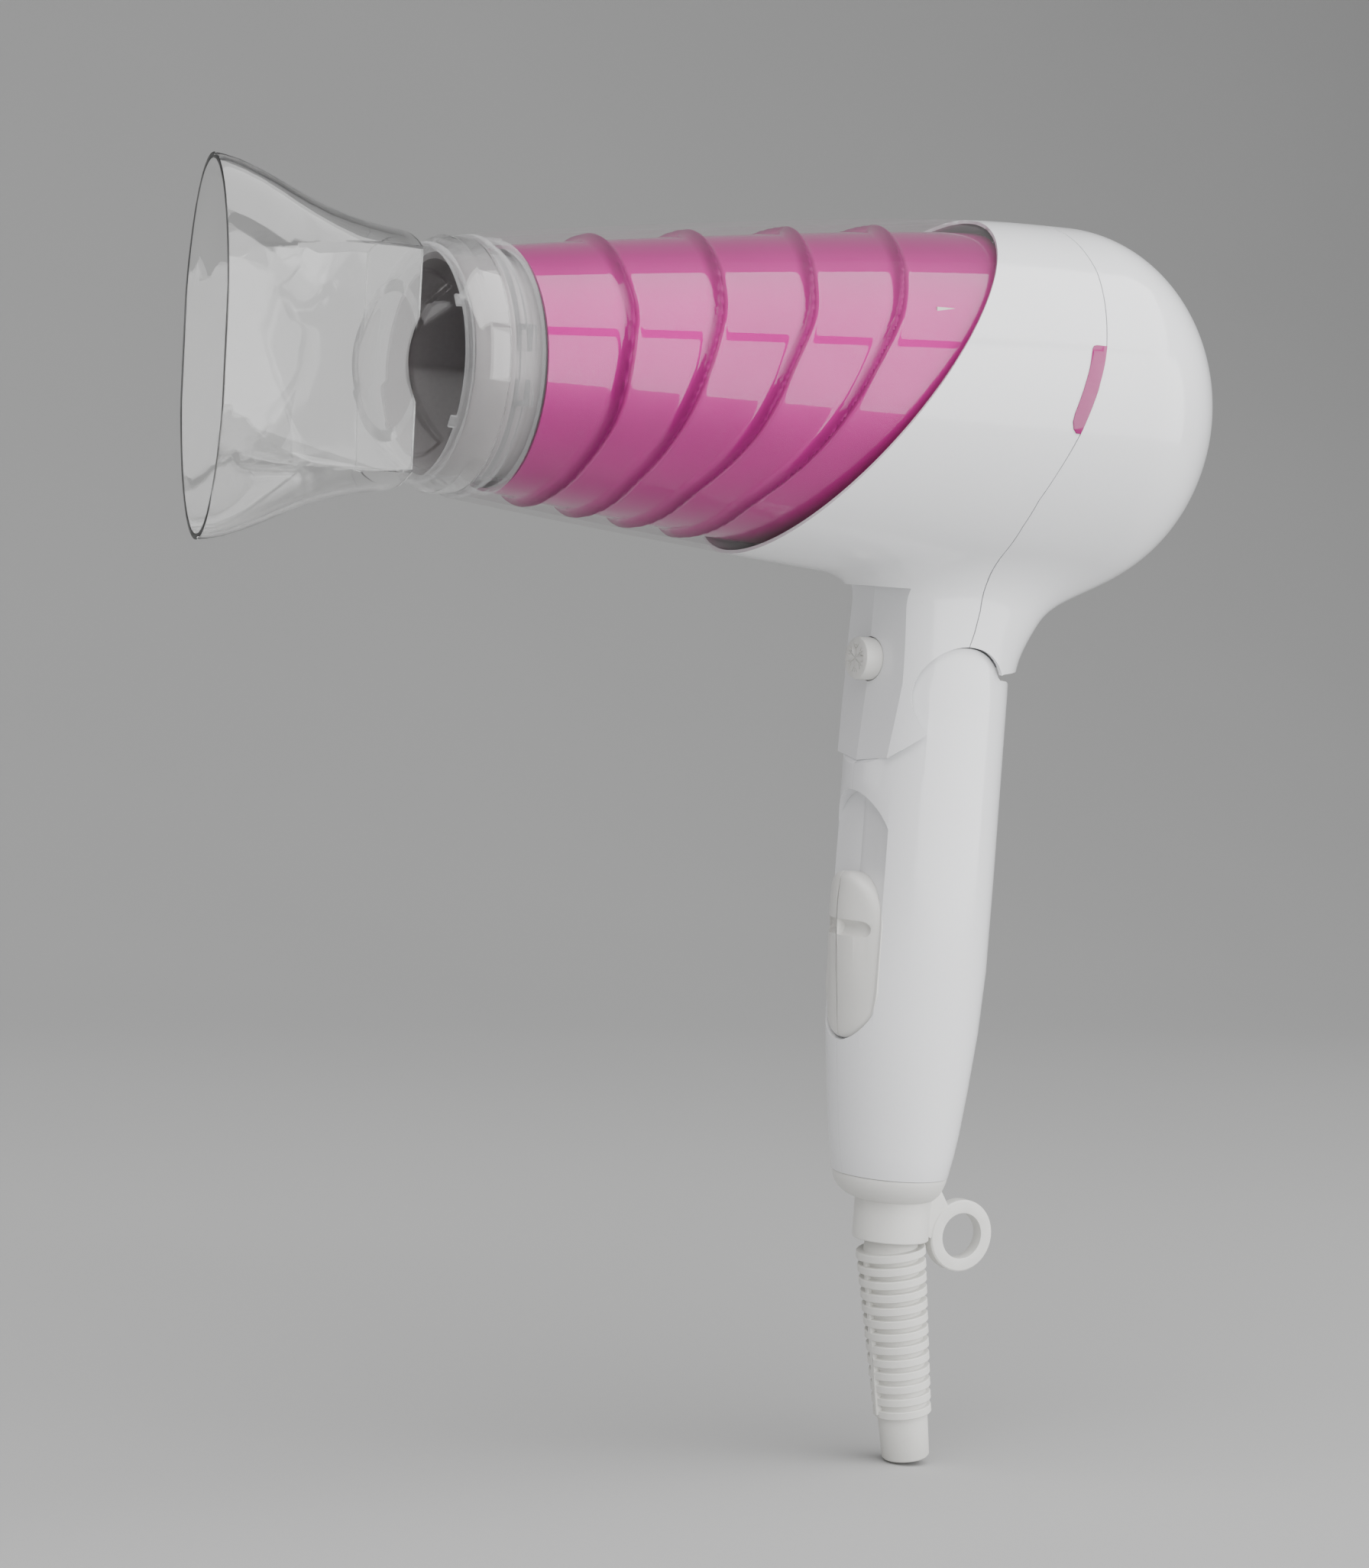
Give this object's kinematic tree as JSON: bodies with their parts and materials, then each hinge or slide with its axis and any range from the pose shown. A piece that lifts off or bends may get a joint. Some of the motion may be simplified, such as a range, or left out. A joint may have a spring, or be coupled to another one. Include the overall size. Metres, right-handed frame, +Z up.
{
  "type": "hair dryer",
  "caption": "Folding hair dryer with a clear fan-shaped air nozzle, pink inner skin under a clear sleeve, slide switches, cool-shot button and hanging loop.",
  "frame": {"origin": "centre of the hanging loop's hole, in the middle of the loop's thickness", "axes": "+Z up along the handle towards the barrel, +X back towards the air inlet so that the nozzle points to -X, +Y across the dryer along the loop's hole"},
  "size_m": [0.2917, 0.101, 0.342],
  "materials": {
    "white_gloss": "gloss",
    "white_satin": "satin",
    "soft_white": "matt",
    "steel": "bright",
    "heater_wire": "oxidised",
    "motor_steel": "zinc plated",
    "dark_plastic": "matt",
    "pink_trim": "gloss",
    "pink_metallic": "metallic gloss",
    "clear_plastic": "clear gloss",
    "duct_plastic": "satin",
    "mica": "satin",
    "natural_plastic": "satin",
    "filter_mesh": "fine mesh"
  },
  "bodies": {
    "handle": {"handle_left": "white_gloss", "handle_right": "white_gloss", "end_cap": "white_satin", "hang_loop": "white_satin", "strain_relief": "soft_white", "handle_screws": "steel", "hinge_pin": "steel", "speed_switch": "dark_plastic", "heat_switch": "dark_plastic"},
    "speed_button": {"speed_slider": "white_satin"},
    "heat_button": {"heat_slider": "white_satin"},
    "head": {"front_housing": "white_gloss", "rear_cover": "white_gloss", "seam_trims": "pink_trim", "clear_sleeve": "clear_plastic", "pink_skin": "pink_metallic", "outlet_collar": "clear_plastic", "outlet_grille": "dark_plastic", "air_duct": "duct_plastic", "mica_tube": "mica", "mica_cross": "mica", "heating_coils": "heater_wire", "thermal_cutout": "steel", "motor_mount": "natural_plastic", "motor": "motor_steel", "inlet_grille": "white_gloss", "lint_filter": "filter_mesh", "button_spring": "steel", "cool_switch": "dark_plastic", "housing_screws": "steel"},
    "cool_shot": {"cool_button": "white_satin"},
    "rotor": {"impeller": "natural_plastic", "motor_shaft": "steel"},
    "nozzle_ring": {"nozzle_clip": "clear_plastic"},
    "nozzle": {"nozzle": "clear_plastic"}
  },
  "joints": [
    {"name": "fold", "type": "hinge", "parent": "handle", "child": "head", "pos_m": [-0.0254, 0, 0.149], "axis": [0, 1, 0], "range_deg": [0, 37]},
    {"name": "speed_slide", "type": "slide", "parent": "handle", "child": "speed_button", "axis": [0, 0, 1], "range_m": [0, 0.015]},
    {"name": "heat_slide", "type": "slide", "parent": "handle", "child": "heat_button", "axis": [0, 0, 1], "range_m": [0, 0.015]},
    {"name": "cool_push", "type": "slide", "parent": "head", "child": "cool_shot", "axis": [1, 0, 0], "range_m": [0, 0.0018], "stiffness_N_per_m": 700, "springref_m": -0.001},
    {"name": "fan_spin", "type": "hinge", "parent": "head", "child": "rotor", "pos_m": [-0.172, 0, 0.225], "axis": [0.9998, 0, 0.0209], "continuous": true},
    {"name": "nozzle_pull", "type": "slide", "parent": "head", "child": "nozzle_ring", "axis": [-0.9998, 0, -0.0209], "range_m": [0, 0.012]},
    {"name": "nozzle_turn", "type": "hinge", "parent": "nozzle_ring", "child": "nozzle", "pos_m": [-0.172, 0, 0.225], "axis": [0.9998, 0, 0.0209], "continuous": true}
  ]
}
